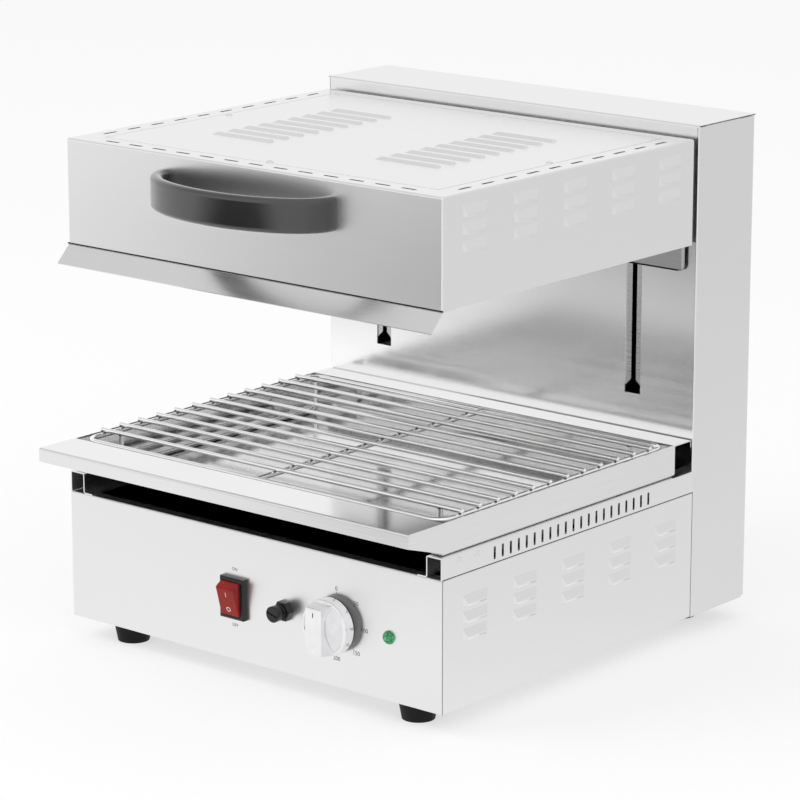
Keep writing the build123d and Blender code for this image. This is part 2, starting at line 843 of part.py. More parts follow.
weight_half = fall_x + weight_past_rope
weight_front = splash_in + weight_gap
with BuildPart() as counterweight:
    block(-weight_half, weight_half, weight_front, weight_front + weight_deep, weight_top - weight_tall,
          weight_top)
    chamfer(counterweight.edges().filter_by(Axis.X), length=weight_chamfer)
save(counterweight, "counterweight")

# Head casing: front and sides with a slotted top border, a ledge under the cover and a bottom return

cover_half = head_half - cover_border - cover_gap
cover_front = head_front + cover_border + cover_gap
cover_back = head_back - cover_rear_border - cover_gap
cover_mid = (cover_front + cover_back) / 2
screw_inset = cover_ledge / 2
cover_screw_places = [
    (-cover_half + screw_inset, cover_mid), (cover_half - screw_inset, cover_mid),
    (0, cover_front + screw_inset), (0, cover_back - screw_inset),
    (-cover_half + screw_inset, cover_back - screw_inset),
    (cover_half - screw_inset, cover_back - screw_inset),
]
casing_in = head_half - sheet
with BuildPart() as head_casing:
    block(-head_half, head_half, head_front, head_back, head_bottom, head_top)
    fillet(head_casing.edges().filter_by(Axis.Z).group_by(Axis.Y)[0], radius=bend)
    fillet(head_casing.faces().sort_by(Axis.Z)[-1].edges().sort_by(Axis.Y)[:-1], radius=bend * 0.9)
    block(-casing_in, casing_in, head_front + sheet, head_back - sheet, head_bottom + sheet,
          head_top - 2 * sheet,
          Mode.SUBTRACT)
    window = head_half - plate_inset - flange
    block(-window, window, head_back - 2 * sheet, head_back + 1, head_bottom + flange,
          head_top - 2 * flange,
          Mode.SUBTRACT)
    block(-head_half + cover_border, head_half - cover_border, head_front + cover_border,
          head_back - cover_rear_border, head_top - sheet, head_top + 1, Mode.SUBTRACT)
    ledge = cover_border + cover_ledge
    block(-head_half + ledge, head_half - ledge, head_front + ledge,
          head_back - cover_rear_border - cover_ledge,
          head_top - 3 * sheet, head_top + 1, Mode.SUBTRACT)
    block(-head_half + flange, head_half - flange, head_front + flange, liner_back,
          head_bottom - 1, head_bottom + 2 * sheet, Mode.SUBTRACT)
    with BuildSketch(Plane.XY.offset(head_top)):
        with Locations((0, head_front + vent_inset)):
            with GridLocations(vent_front_pitch, 0, vent_front_count, 1):
                SlotOverall(vent_long, vent_wide)
        for hand in (-1, 1):
            with Locations((hand * (head_half - vent_inset), cover_mid)):
                with GridLocations(0, vent_side_pitch, 1, vent_side_count):
                    SlotOverall(vent_long, vent_wide, rotation=90)
    extrude(amount=3 * sheet, both=True, mode=Mode.SUBTRACT)
    with BuildSketch(Plane.XY.offset(head_top)):
        with Locations(*cover_screw_places):
            Circle(screw_shank + running)
    extrude(amount=3 * sheet, both=True, mode=Mode.SUBTRACT)
    for hand in (-1, 1):
        press_louvres(side_places(hand * head_half, head_top - head_louvre_below_top), side_louvre)
    handle_z = head_top - handle_below_top
    handle_screw_x = handle_half - handle_band / 2
    for hand in (-1, 1):
        for rise in (-handle_tall / 4, handle_tall / 4):
            rod((hand * handle_screw_x, head_front - 1, handle_z + rise),
                (hand * handle_screw_x, head_front + 2 * sheet, handle_z + rise), screw_shank + running,
                Mode.SUBTRACT)
save(head_casing, "head_casing")

with BuildPart() as head_cover:
    block(-cover_half, cover_half, cover_front, cover_back, head_top - sheet, head_top)
    with BuildSketch(Plane.XY.offset(head_top)):
        with Locations(*cover_screw_places):
            Circle(screw_shank + running)
    extrude(amount=2 * sheet, both=True, mode=Mode.SUBTRACT)
    press_louvres(
        [
            Plane((hand * rib_group_x, cover_mid + (row - (rib_count - 1) / 2) * rib_pitch, head_top),
                  x_dir=(0, 0, 1), z_dir=(0, -1, 0))
            for hand in (-1, 1) for row in range(rib_count)
        ],
        cover_rib,
    )
save(head_cover, "head_cover")

with BuildPart() as cover_screws:
    with Locations(*[(x, y, head_top) for x, y in cover_screw_places]):
        add(pan_screw(4 * sheet))
save(cover_screws, "cover_screws")

with BuildPart() as visor:
    fold(
        Plane.YZ.offset(-head_half),
        [(head_front + visor_tab, head_bottom), (head_front + sheet, head_bottom),
         (head_front - visor_reach, head_bottom - visor_drop)],
        head_width,
        Side.LEFT,
    )
save(visor, "visor")

# Reflector liner, sheathed elements, their hangers and the insulation above

liner_half = head_half - liner_inset
liner_front = head_front + liner_inset
element_legs = [
    (pair - (element_count - 1) / 2) * 2 * element_pitch + leg * element_pitch / 2
    for pair in range(element_count) for leg in (-1, 1)
]
with BuildPart() as head_liner:
    block(-liner_half, liner_half, liner_front, liner_back, head_bottom + sheet, liner_top)
    fillet(head_liner.edges().group_by(Axis.Z)[-1], radius=liner_round)
    offset(amount=-sheet, openings=head_liner.faces().sort_by(Axis.Z)[0])
    block(-casing_in + seam, casing_in - seam, head_front + sheet + seam, liner_back + flange / 2,
          head_bottom + sheet, head_bottom + 2 * sheet)
    block(-liner_half + sheet, liner_half - sheet, liner_front + sheet, liner_back - sheet,
          head_bottom, head_bottom + 3 * sheet, Mode.SUBTRACT)
    with BuildSketch(Plane((0, liner_back, element_z), x_dir=(1, 0, 0), z_dir=(0, -1, 0))):
        with Locations(*[(x, 0) for x in element_legs]):
            Circle(element_radius + running)
    extrude(amount=3 * sheet, both=True, mode=Mode.SUBTRACT)
save(head_liner, "head_liner")

tail_y = liner_back + element_tail
with BuildPart() as heating_elements:
    for pair in range(element_count):
        left_x = element_legs[2 * pair]
        right_x = element_legs[2 * pair + 1]
        hairpin_y = liner_front + element_front - liner_inset
        wire(
            [(left_x, tail_y, element_z), (left_x, hairpin_y, element_z), (right_x, hairpin_y, element_z),
             (right_x, tail_y, element_z)],
            2 * element_radius, element_bend,
        )
        for x in (left_x, right_x):
            rod((x, tail_y, element_z), (x, tail_y + terminal_long, element_z), terminal_radius)
save(heating_elements, "heating_elements")

hanger_low = element_z - support_tall_below
with BuildPart() as element_hangers:
    for step in range(2):
        y = liner_front + hanger_first + step * hanger_pitch
        block(-liner_half + hanger_inset, liner_half - hanger_inset, y, y + support_thick, hanger_low,
              liner_top - sheet)
        with BuildSketch(Plane((0, y, 0), x_dir=(1, 0, 0), z_dir=(0, -1, 0))):
            with Locations(*[(x, element_z) for x in element_legs]):
                Circle(element_radius + running)
            with Locations((0, element_z + hanger_slot_up)):
                with GridLocations(element_pitch, 0, 2 * element_count - 1, 1):
                    SlotOverall(hanger_slot_long, hanger_slot_tall)
        extrude(amount=3 * support_thick, both=True, mode=Mode.SUBTRACT)
save(element_hangers, "element_hangers")

with BuildPart() as insulation:
    block(-liner_half, liner_half, liner_front, liner_back, liner_top, liner_top + insulation_thick)
    fillet(insulation.edges().filter_by(Axis.Z), radius=insulation_round)
save(insulation, "insulation")

with BuildPart() as carriage_plate:
    with BuildSketch(Plane((0, head_back, 0), x_dir=(1, 0, 0), z_dir=(0, -1, 0))):
        with BuildLine():
            FilletPolyline(
                (-head_half + plate_inset, head_top - 2 * sheet),
                (-head_half + plate_inset, head_bottom - plate_overhang),
                (head_half - plate_inset, head_bottom - plate_overhang),
                (head_half - plate_inset, head_top - 2 * sheet),
                radius=plate_round,
            )
            Line((head_half - plate_inset, head_top - 2 * sheet),
                 (-head_half + plate_inset, head_top - 2 * sheet))
        make_face()
    extrude(amount=-plate_thick)
    fillet(carriage_plate.faces().sort_by(Axis.Y)[0].edges().sort_by(Axis.Z)[:-1], radius=plate_edge)
save(carriage_plate, "carriage_plate")

# Handle: an elliptical bow, its ends flat on the head front, with blind screw holes

with BuildPart() as handle:
    with BuildSketch(Plane.XY.offset(handle_z - handle_tall / 2)) as bow:
        with Locations((0, head_front)):
            Ellipse(handle_half, handle_reach)
            Ellipse(handle_half - handle_band, handle_reach - handle_band * 0.85, mode=Mode.SUBTRACT)
        with Locations((0, head_front + handle_reach)):
            Rectangle(3 * handle_half, 2 * handle_reach, mode=Mode.SUBTRACT)
    extrude(amount=handle_tall)
    bow_edges = handle.edges().filter_by(GeomType.ELLIPSE)
    fillet(bow_edges, radius=handle_round)
    for hand in (-1, 1):
        for rise in (-handle_tall / 4, handle_tall / 4):
            rod((hand * handle_screw_x, head_front + 1, handle_z + rise),
                (hand * handle_screw_x, head_front - handle_screw_deep, handle_z + rise),
                screw_shank + running, Mode.SUBTRACT)
save(handle, "handle")

with BuildPart() as handle_screws:
    with Locations(*[
        Plane((hand * handle_screw_x, head_front + sheet, handle_z + rise), z_dir=(0, 1, 0))
        for hand in (-1, 1) for rise in (-handle_tall / 4, handle_tall / 4)
    ]):
        add(pan_screw(handle_screw_deep - 1))
save(handle_screws, "handle_screws")

# Rocker switch

switch_x = control_first
cavity_wide = switch_wide - 2 * switch_wall
cavity_tall = switch_tall - 2 * switch_wall
rocker_radius = cavity_tall / 2 - rocker_gap
pivot_y = front_y - switch_pivot
with BuildPart() as switch_frame:
    block(switch_x - switch_wide / 2, switch_x + switch_wide / 2, front_y - switch_proud, front_y,
          control_z - switch_tall / 2, control_z + switch_tall / 2)
    chamfer(switch_frame.faces().sort_by(Axis.Y)[0].edges(), length=switch_edge)
    neck_x = (switch_wide - switch_wall) / 2
    neck_z = (switch_tall - switch_wall) / 2
    block(switch_x - neck_x, switch_x + neck_x, front_y, front_y + switch_body_deep, control_z - neck_z,
          control_z + neck_z)
    block(switch_x - cavity_wide / 2, switch_x + cavity_wide / 2, front_y - 2 * switch_proud,
          pivot_y + rocker_radius * 0.6, control_z - cavity_tall / 2, control_z + cavity_tall / 2,
          Mode.SUBTRACT)
    spades([(switch_x, control_z + step * switch_blade_pitch) for step in (-1, 0, 1)],
           front_y + switch_body_deep)
save(switch_frame, "switch_frame")

rocker_depth = Vector(0, 1, 0).rotate(Axis.X, rocker_tilt)
with BuildPart() as switch_rocker:
    with BuildSketch(Plane((switch_x, pivot_y, control_z), x_dir=rocker_depth, z_dir=(1, 0, 0))):
        Circle(rocker_radius)
        with Locations((-rocker_face - rocker_radius, 0), (rocker_radius * 1.3, 0)):
            Rectangle(2 * rocker_radius, 3 * rocker_radius, mode=Mode.SUBTRACT)
    extrude(amount=cavity_wide / 2 - rocker_gap, both=True)
    fillet(switch_rocker.faces().sort_by(Axis.Y)[0].edges(), radius=rocker_edge)
save(switch_rocker, "switch_rocker")

# Reset button: hex collar and bush, sprung cap with a coin slot, trip body behind

reset_x = control_first + control_pitch
bush_front = front_y - reset_nut - reset_bush_proud
bush_back = front_y + flange
with BuildPart() as reset_collar:
    with BuildSketch(Plane((reset_x, front_y, control_z), x_dir=(1, 0, 0), z_dir=(0, -1, 0))):
        RegularPolygon(radius=reset_hex / 2, side_count=6, major_radius=False)
    extrude(amount=reset_nut)
    chamfer(reset_collar.faces().sort_by(Axis.Y)[0].edges(), length=reset_edge)
    rod((reset_x, bush_front, control_z), (reset_x, bush_back, control_z), reset_bush)
    rod((reset_x, bush_front - 1, control_z), (reset_x, bush_back + 1, control_z), reset_stem + running,
        Mode.SUBTRACT)
save(reset_collar, "reset_collar")

cap_back = bush_front - reset_travel - reset_cap_gap
cap_front = cap_back - reset_cap_long
with BuildPart() as reset_button:
    rod((reset_x, cap_back, control_z), (reset_x, cap_front, control_z), reset_cap)
    chamfer(reset_button.edges().filter_by(GeomType.CIRCLE).group_by(Axis.Y)[0], length=reset_edge)
    with Locations(Location((reset_x, cap_front, control_z), (0, coin_slot_turn, 0))):
        Box(2 * (reset_cap - reset_edge), 2 * coin_slot_deep, coin_slot_wide, mode=Mode.SUBTRACT)
    rod((reset_x, cap_back, control_z), (reset_x, bush_back - 1, control_z), reset_stem)
save(reset_button, "reset_button")

with BuildPart() as reset_trip:
    block(reset_x - trip_wide / 2, reset_x + trip_wide / 2, bush_back, bush_back + trip_deep,
          control_z - trip_tall / 2, control_z + trip_tall / 2)
    rod((reset_x, bush_back - 1, control_z), (reset_x, bush_back + reset_travel + 3, control_z),
        reset_stem + roller_gap, Mode.SUBTRACT)
    spades([(reset_x + step * trip_blade_pitch / 2, control_z) for step in (-1, 1)], bush_back + trip_deep)
save(reset_trip, "reset_trip")

# Heat control: spindle, dark skirt, bright knob with a tapered bar grip, regulator behind

knob_x = control_first + 2 * control_pitch
skirt_back = front_y - knob_clear
skirt_front = skirt_back - knob_skirt
rim_front = skirt_front - knob_rim
spindle_front = rim_front - grip_reach / 2
spindle_back = front_y + flange + spindle_in
with BuildPart() as knob_spindle:
    rod((knob_x, spindle_front, control_z), (knob_x, spindle_back, control_z), spindle_radius)
save(knob_spindle, "knob_spindle")

with BuildPart() as knob_skirt_ring:
    rod((knob_x, skirt_back, control_z), (knob_x, skirt_front, control_z), knob_radius)
    chamfer(knob_skirt_ring.edges().filter_by(GeomType.CIRCLE).group_by(Axis.Y)[-1], length=skirt_edge)
    rod((knob_x, front_y + 1, control_z), (knob_x, skirt_front - 1, control_z), spindle_radius,
        Mode.SUBTRACT)
save(knob_skirt_ring, "knob_skirt")

with BuildPart() as knob:
    rod((knob_x, skirt_front, control_z), (knob_x, rim_front, control_z), knob_radius)
    fillet(knob.edges().filter_by(GeomType.CIRCLE).group_by(Axis.Y)[0], radius=knob_edge)
    rod((knob_x, rim_front, control_z), (knob_x, rim_front + knob_dish, control_z),
        knob_radius - knob_dish_inset,
        Mode.SUBTRACT)
    with BuildSketch(Plane((knob_x, (skirt_front + rim_front) / 2, control_z), x_dir=(1, 0, 0),
                           z_dir=(0, -1, 0))):
        Rectangle(grip_root_wide, grip_root_tall)
    with BuildSketch(Plane((knob_x, rim_front - grip_reach, control_z), x_dir=(1, 0, 0), z_dir=(0, -1, 0))):
        Rectangle(grip_wide, grip_tall)
    loft(ruled=True)
    fillet(knob.faces().sort_by(Axis.Y)[0].edges(), radius=grip_edge)
    rod((knob_x, front_y, control_z), (knob_x, spindle_front, control_z), spindle_radius, Mode.SUBTRACT)
save(knob, "knob")

regulator_front = front_y + sheet + regulator_gap
regulator_back = regulator_front + regulator_deep
with BuildPart() as regulator:
    block(knob_x - regulator_wide / 2, knob_x + regulator_wide / 2, regulator_front, regulator_back,
          control_z - regulator_tall / 2, control_z + regulator_tall / 2)
    chamfer(regulator.edges().filter_by(Axis.Y), length=regulator_chamfer)
    rod((knob_x, regulator_front, control_z), (knob_x, skirt_back + seam / 2, control_z),
        spindle_radius + spindle_collar)
    rod((knob_x, skirt_back - 1, control_z), (knob_x, spindle_back + 1, control_z),
        spindle_radius + running, Mode.SUBTRACT)
    spades([(knob_x + step * regulator_blade_pitch, control_z) for step in (-1, 0, 1)], regulator_back)
save(regulator, "regulator")

# Pilot lamp

lamp_x = control_first + 3 * control_pitch
with BuildPart() as pilot_lens:
    rod((lamp_x, front_y, control_z), (lamp_x, front_y - lamp_dome, control_z), lamp_radius)
    fillet(pilot_lens.edges().filter_by(GeomType.CIRCLE).group_by(Axis.Y)[0], radius=lamp_dome * 0.6)
save(pilot_lens, "pilot_lens")

with BuildPart() as pilot_body:
    rod((lamp_x, front_y, control_z), (lamp_x, front_y + lamp_body_deep, control_z),
        lamp_radius - lamp_step)
    with BuildSketch(Plane((lamp_x, front_y + sheet, control_z), z_dir=(0, 1, 0))):
        RegularPolygon(radius=lamp_radius + lamp_nut, side_count=6)
    extrude(amount=lamp_nut)
save(pilot_body, "pilot_body")

# Mains terminal block on the base floor

terminal_y = back_y - terminal_from_back
terminal_x = gland_x + terminal_from_gland
terminal_low = floor_z + 2 * sheet
with BuildPart() as terminal_block:
    block(terminal_x - terminal_wide / 2, terminal_x + terminal_wide / 2, terminal_y - terminal_deep,
          terminal_y,
          terminal_low, terminal_low + terminal_tall)
    with BuildSketch(Plane.XY.offset(terminal_low + terminal_tall)):
        with Locations((terminal_x, terminal_y - terminal_deep / 2)):
            with GridLocations(terminal_pitch_x, terminal_pitch_y, 3, 2):
                Circle(terminal_hole)
    extrude(amount=-terminal_hole_deep, mode=Mode.SUBTRACT)
save(terminal_block, "terminal_block")
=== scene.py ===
import json
import math

import bpy
import numpy as np
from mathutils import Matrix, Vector


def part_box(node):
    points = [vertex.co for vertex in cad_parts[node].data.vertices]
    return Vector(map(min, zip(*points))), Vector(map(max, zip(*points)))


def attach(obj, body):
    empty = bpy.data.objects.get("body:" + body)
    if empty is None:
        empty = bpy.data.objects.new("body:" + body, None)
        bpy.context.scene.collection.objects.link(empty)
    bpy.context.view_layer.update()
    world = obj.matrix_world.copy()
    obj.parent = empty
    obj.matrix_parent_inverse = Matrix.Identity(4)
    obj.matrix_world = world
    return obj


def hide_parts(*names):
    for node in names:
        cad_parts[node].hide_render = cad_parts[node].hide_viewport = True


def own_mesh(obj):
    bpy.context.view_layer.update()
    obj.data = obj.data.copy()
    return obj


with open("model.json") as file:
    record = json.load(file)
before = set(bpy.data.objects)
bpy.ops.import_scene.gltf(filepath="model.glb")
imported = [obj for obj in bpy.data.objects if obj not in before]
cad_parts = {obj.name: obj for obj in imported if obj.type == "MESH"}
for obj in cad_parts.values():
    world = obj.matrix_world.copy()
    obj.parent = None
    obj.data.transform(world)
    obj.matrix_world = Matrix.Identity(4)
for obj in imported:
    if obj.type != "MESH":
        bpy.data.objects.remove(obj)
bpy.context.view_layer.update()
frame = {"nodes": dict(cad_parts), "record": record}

nodes = frame["nodes"]
joints = frame["record"]["behaviour"]["joints"]
mm = 0.001
print("frame loaded,", len(nodes), "pieces")


# Small helpers for shader trees. A socket takes a plain value or another node's output.

def plug(tree, socket, value):
    if isinstance(value, bpy.types.NodeSocket):
        tree.links.new(value, socket)
    else:
        socket.default_value = value


def addNode(tree, kind, sockets=None, **settings):
    node = tree.nodes.new("ShaderNode" + kind)
    for key, value in settings.items():
        setattr(node, key, value)
    for key, value in (sockets or {}).items():
        plug(tree, node.inputs[key], value)
    return node


def startFinish(name, **sockets):
    material = bpy.data.materials.new(name)
    material.use_nodes = True
    tree = material.node_tree
    shader = tree.nodes["Principled BSDF"]
    for key, value in sockets.items():
        plug(tree, shader.inputs[key.replace("_", " ")], value)
    return material, tree, shader


def reckon(tree, operation, *values):
    return addNode(tree, "Math", dict(enumerate(values)), operation=operation).outputs[0]


def spread(tree, value, low, high, fromLow=0.3, fromHigh=0.7):
    node = addNode(tree, "MapRange", {"Value": value, "From Min": fromLow, "From Max": fromHigh,
                                      "To Min": low, "To Max": high})
    return node.outputs["Result"]


# Noise in object space, stretched by a scale for each axis in cycles per metre
def stretchedNoise(tree, cycles, detail=2.0, rough=0.5):
    place = addNode(tree, "TexCoord")
    stretch = addNode(tree, "Mapping", {"Vector": place.outputs["Object"], "Scale": cycles})
    noise = addNode(tree, "TexNoise", {"Vector": stretch.outputs["Vector"], "Scale": 1.0, "Detail": detail,
                                       "Roughness": rough})
    return noise.outputs["Fac"]


# One axis of the way a face turns, and one axis of a point's place in object space
def facingAlong(tree, axis, kind="True Normal"):
    facing = addNode(tree, "NewGeometry")
    return addNode(tree, "SeparateXYZ", {"Vector": facing.outputs[kind]}).outputs[axis]


def placeAlong(tree, axis):
    place = addNode(tree, "TexCoord")
    return addNode(tree, "SeparateXYZ", {"Vector": place.outputs["Object"]}).outputs[axis]


def mixValues(tree, share, first, second):
    return addNode(tree, "Mix", {"Factor": share, 2: first, 3: second}, data_type="FLOAT").outputs[0]


def tintBetween(tree, share, dark, light):
    return addNode(tree, "Mix", {0: share, 6: (*dark, 1.0), 7: (*light, 1.0)}, data_type="RGBA").outputs[2]


# Lays a tint over a finish's own colour
def overTint(material, share, tint):
    tree = material.node_tree
    base = tree.nodes["Principled BSDF"].inputs["Base Color"]
    both = addNode(tree, "Mix", {0: share, 6: base.links[0].from_socket, 7: (*tint, 1.0)}, data_type="RGBA")
    plug(tree, base, both.outputs[2])


def raiseBumps(tree, shader, height, strength, distance):
    bump = addNode(tree, "Bump", {"Height": height, "Strength": strength, "Distance": distance})
    plug(tree, shader.inputs["Normal"], bump.outputs["Normal"])


# Colour from one noise, roughness and bumps from another
def dress(tree, shader, cloud, grain, look, bumpDeep):
    tint = tintBetween(tree, spread(tree, cloud, 0.0, 1.0), look["dark"], look["light"])
    plug(tree, shader.inputs["Base Color"], tint)
    plug(tree, shader.inputs["Roughness"], spread(tree, grain, *look["rough"]))
    raiseBumps(tree, shader, grain, look["bump"], bumpDeep)


# One value for all three channels or axes
def even(value):
    return (value, value, value)


# Brushed sheet: hair lines along the sheet, level on upright faces and along X on flat ones
hairLines = {"detail": 3.0, "rough": 0.6, "cloud": even(5.0), "cloudShare": 0.35, "flatFrom": 0.7,
             "bumpDeep": 0.0003}


def brushedSheet(name, look):
    material, tree, shader = startFinish(name, Metallic=1.0)
    along, across = look["along"], look["across"]
    upright = stretchedNoise(tree, (along, along, across), hairLines["detail"], hairLines["rough"])
    flat = stretchedNoise(tree, (along, across, along), hairLines["detail"], hairLines["rough"])
    tilt = reckon(tree, "ABSOLUTE", facingAlong(tree, "Z"))
    lines = mixValues(tree, reckon(tree, "GREATER_THAN", tilt, hairLines["flatFrom"]), upright, flat)
    cloud = stretchedNoise(tree, hairLines["cloud"])
    mixed = mixValues(tree, hairLines["cloudShare"], lines, cloud)
    dress(tree, shader, mixed, lines, look, hairLines["bumpDeep"])
    return material


# Guide channel: bright lips, and the depth painted near black as painted shade
def shadedChannel(name, look):
    material = brushedSheet(name, look)
    tree = material.node_tree
    deep = spread(tree, placeAlong(tree, "Y"), 0.0, 1.0, look["shadeDepthFrom"], look["shadeDepthTo"])
    # Painted shade: past a set depth the channel turns near black
    overTint(material, deep, look["deep"])
    return material


# Column sheet: its front turns white near the tray, a painted reflection of the bright tray
def trayReflectionFoot(name, look):
    material = brushedSheet(name, look)
    tree = material.node_tree
    front = reckon(tree, "LESS_THAN", facingAlong(tree, "Y"), look["frontTo"])
    low = spread(tree, placeAlong(tree, "Z"), 1.0, 0.0, look["footFrom"], look["footTo"])
    # Painted reflection: the front faces are tinted white towards the tray
    overTint(material, reckon(tree, "MULTIPLY", front, low), look["foot"])
    return material


# Plated or drawn bright metal with faint draw marks
drawMarks = {"detail": 3.0, "rough": 0.6, "bumpDeep": 0.0002}


def brightMetal(name, look):
    material, tree, shader = startFinish(name, Metallic=1.0)
    marks = stretchedNoise(tree, look["cycles"], drawMarks["detail"], drawMarks["rough"])
    dress(tree, shader, marks, marks, look, drawMarks["bumpDeep"])
    return material


# Rack wire: bright above, with a painted shade on the faces that turn down
def underShadedWire(name, look):
    material = brightMetal(name, look)
    tree = material.node_tree
    below = spread(tree, facingAlong(tree, "Z", "Normal"), 1.0, 0.0, look["underShadeFrom"], look["underShadeTo"])
    # Painted shade: the faces that turn down are darkened towards a dark grey
    overTint(material, below, look["underShade"])
    return material


# Moulded plastic or rubber with a fine grain
moulding = {"cloud": even(30.0), "bumpDeep": 0.0002, "gloss": 0.5, "sheenSpread": 0.22}


def mouldedGrain(name, look):
    material, tree, shader = startFinish(name, Metallic=0.0, Sheen_Roughness=moulding["sheenSpread"])
    grain = stretchedNoise(tree, even(look["grain"]))
    dress(tree, shader, stretchedNoise(tree, moulding["cloud"]), grain, look, moulding["bumpDeep"])
    plug(tree, shader.inputs["Specular IOR Level"], look.get("gloss", moulding["gloss"]))
    plug(tree, shader.inputs["Coat Weight"], look.get("coat", 0.0))
    plug(tree, shader.inputs["Sheen Weight"], look.get("sheen", 0.0))
    return material


# Knob skirt: black rim, bare metal on the face that turns to the panel
def rimmedSkirt(name, look):
    material = mouldedGrain(name, look)
    tree = material.node_tree
    behind = reckon(tree, "GREATER_THAN", facingAlong(tree, "Y"), look["backFrom"])
    overTint(material, behind, look["back"])
    return material


# Lamp glass: prism cells, pale in the middle and dark at their borders
def prismGlass(name, look):
    material, tree, shader = startFinish(name, Metallic=0.0, Roughness=look["rough"],
                                         Coat_Weight=look["coat"])
    place = addNode(tree, "TexCoord")
    cells = addNode(tree, "TexVoronoi", {"Vector": place.outputs["Object"], "Scale": look["cells"]},
                    feature="DISTANCE_TO_EDGE")
    pale = spread(tree, cells.outputs["Distance"], 0.0, 1.0, 0.0, look["border"])
    plug(tree, shader.inputs["Base Color"], tintBetween(tree, pale, look["dark"], look["light"]))
    raiseBumps(tree, shader, pale, look["bump"], look["bumpDeep"])
    return material


# Finishes by the record's slots

finishes = {
    "casing_steel": brushedSheet("casingSteel", {
        "dark": even(0.852), "light": even(0.868), "along": 12.0, "across": 1500.0, "rough": (0.28, 0.30),
        "bump": 0.003}),
    "inner_steel": brushedSheet("innerSteel", {
        "dark": (0.42, 0.42, 0.43), "light": (0.56, 0.56, 0.57), "along": 30.0, "across": 900.0,
        "rough": (0.35, 0.5), "bump": 0.1}),
    "tray_steel": brushedSheet("traySteel", {
        "dark": even(0.79), "light": even(0.86), "along": 14.0, "across": 1200.0, "rough": (0.08, 0.14),
        "bump": 0.02}),
    "reflector": brushedSheet("reflectorSheet", {
        "dark": (0.78, 0.77, 0.76), "light": (0.88, 0.87, 0.86), "along": 20.0, "across": 800.0,
        "rough": (0.2, 0.34), "bump": 0.1}),
    # Rack wire with a painted shade on its undersides
    "rack_wire": underShadedWire("rackWire", {
        "dark": even(0.96), "light": even(0.96), "underShade": even(0.30), "underShadeFrom": -0.75, "underShadeTo": -0.25,
        "cycles": (90.0, 90.0, 300.0), "rough": (0.08, 0.16), "bump": 0.05}),
    "element_sheath": brightMetal("elementSheath", {
        "dark": (0.10, 0.09, 0.09), "light": (0.24, 0.21, 0.20), "cycles": (60.0, 14.0, 60.0),
        "rough": (0.4, 0.6), "bump": 0.15}),
    "fixings": brightMetal("zincFixings", {
        "dark": (0.55, 0.55, 0.56), "light": (0.72, 0.72, 0.73), "cycles": even(400.0), "rough": (0.24, 0.4),
        "bump": 0.08}),
    "wire_rope": brightMetal("wireRope", {
        "dark": (0.40, 0.40, 0.41), "light": (0.68, 0.68, 0.69), "cycles": (900.0, 900.0, 260.0),
        "rough": (0.3, 0.45), "bump": 0.5}),
    "weight_iron": brightMetal("castWeight", {
        "dark": (0.10, 0.10, 0.11), "light": (0.20, 0.20, 0.21), "cycles": even(220.0), "rough": (0.5, 0.7),
        "bump": 0.4}),
    "knob_metal": brightMetal("knobChrome", {
        "dark": (0.84, 0.84, 0.85), "light": (0.92, 0.92, 0.93), "cycles": even(60.0), "rough": (0.06, 0.12),
        "bump": 0.01}),
    "mineral_wool": mouldedGrain("mineralWool", {
        "dark": (0.66, 0.63, 0.55), "light": (0.82, 0.80, 0.74), "grain": 700.0, "rough": (0.85, 0.98),
        "bump": 0.6}),
    "handle_black": mouldedGrain("handleGrip", {
        "dark": even(0.010), "light": even(0.016), "grain": 2600.0, "rough": (0.10, 0.15), "bump": 0.01,
        "gloss": 0.8, "sheen": 1.0, "coat": 0.5}),
    "foot_rubber": mouldedGrain("footRubber", {
        "dark": even(0.005), "light": even(0.010), "grain": 1400.0, "rough": (0.55, 0.7), "bump": 0.15,
        "gloss": 0.2}),
    "nylon": mouldedGrain("naturalNylon", {
        "dark": (0.74, 0.73, 0.68), "light": (0.84, 0.83, 0.79), "grain": 900.0, "rough": (0.4, 0.5),
        "bump": 0.05}),
    "control_black": mouldedGrain("controlBlack", {
        "dark": (0.010, 0.010, 0.011), "light": (0.020, 0.020, 0.021), "grain": 2200.0, "rough": (0.1, 0.17),
        "bump": 0.02, "gloss": 0.3}),
    "rocker_red": mouldedGrain("rockerRed", {
        "dark": (0.22, 0.006, 0.004), "light": (0.31, 0.012, 0.008), "grain": 1200.0, "rough": (0.08, 0.14),
        "bump": 0.02, "gloss": 0.25}),
    "control_body": mouldedGrain("controlBody", {
        "dark": even(0.05), "light": even(0.09), "grain": 1200.0, "rough": (0.4, 0.55), "bump": 0.08}),
    "lamp_green": prismGlass("lampGreen", {
        "dark": (0.004, 0.10, 0.03), "light": (0.05, 0.50, 0.19), "cells": 300.0, "border": 0.32,
        "rough": 0.1, "coat": 0.5, "bump": 0.6, "bumpDeep": 0.0006}),
    "knob_black": rimmedSkirt("knobSkirtBlack", {
        "dark": even(0.016), "light": even(0.016), "back": even(0.62), "backFrom": 0.9, "grain": 1800.0,
        "rough": (0.3, 0.42), "bump": 0.03}),
}

# Finishes for single pieces
# Near black as painted shade: the base deck stands for the dark, unlit inside of the base
deckShadeBlack = mouldedGrain("deckPaintedShade", {
    "dark": even(0.001), "light": even(0.002), "grain": 900.0, "rough": (0.85, 0.95), "bump": 0.1,
    "gloss": 0.0})
inkDark = mouldedGrain("panelInk", {
    "dark": (0.08, 0.08, 0.082), "light": (0.12, 0.12, 0.122), "grain": 2000.0, "rough": (0.5, 0.6),
    "bump": 0.02})
inkWhite = mouldedGrain("rockerInk", {
    "dark": (0.78, 0.76, 0.74), "light": (0.88, 0.87, 0.86), "grain": 2000.0, "rough": (0.4, 0.5),
    "bump": 0.02})
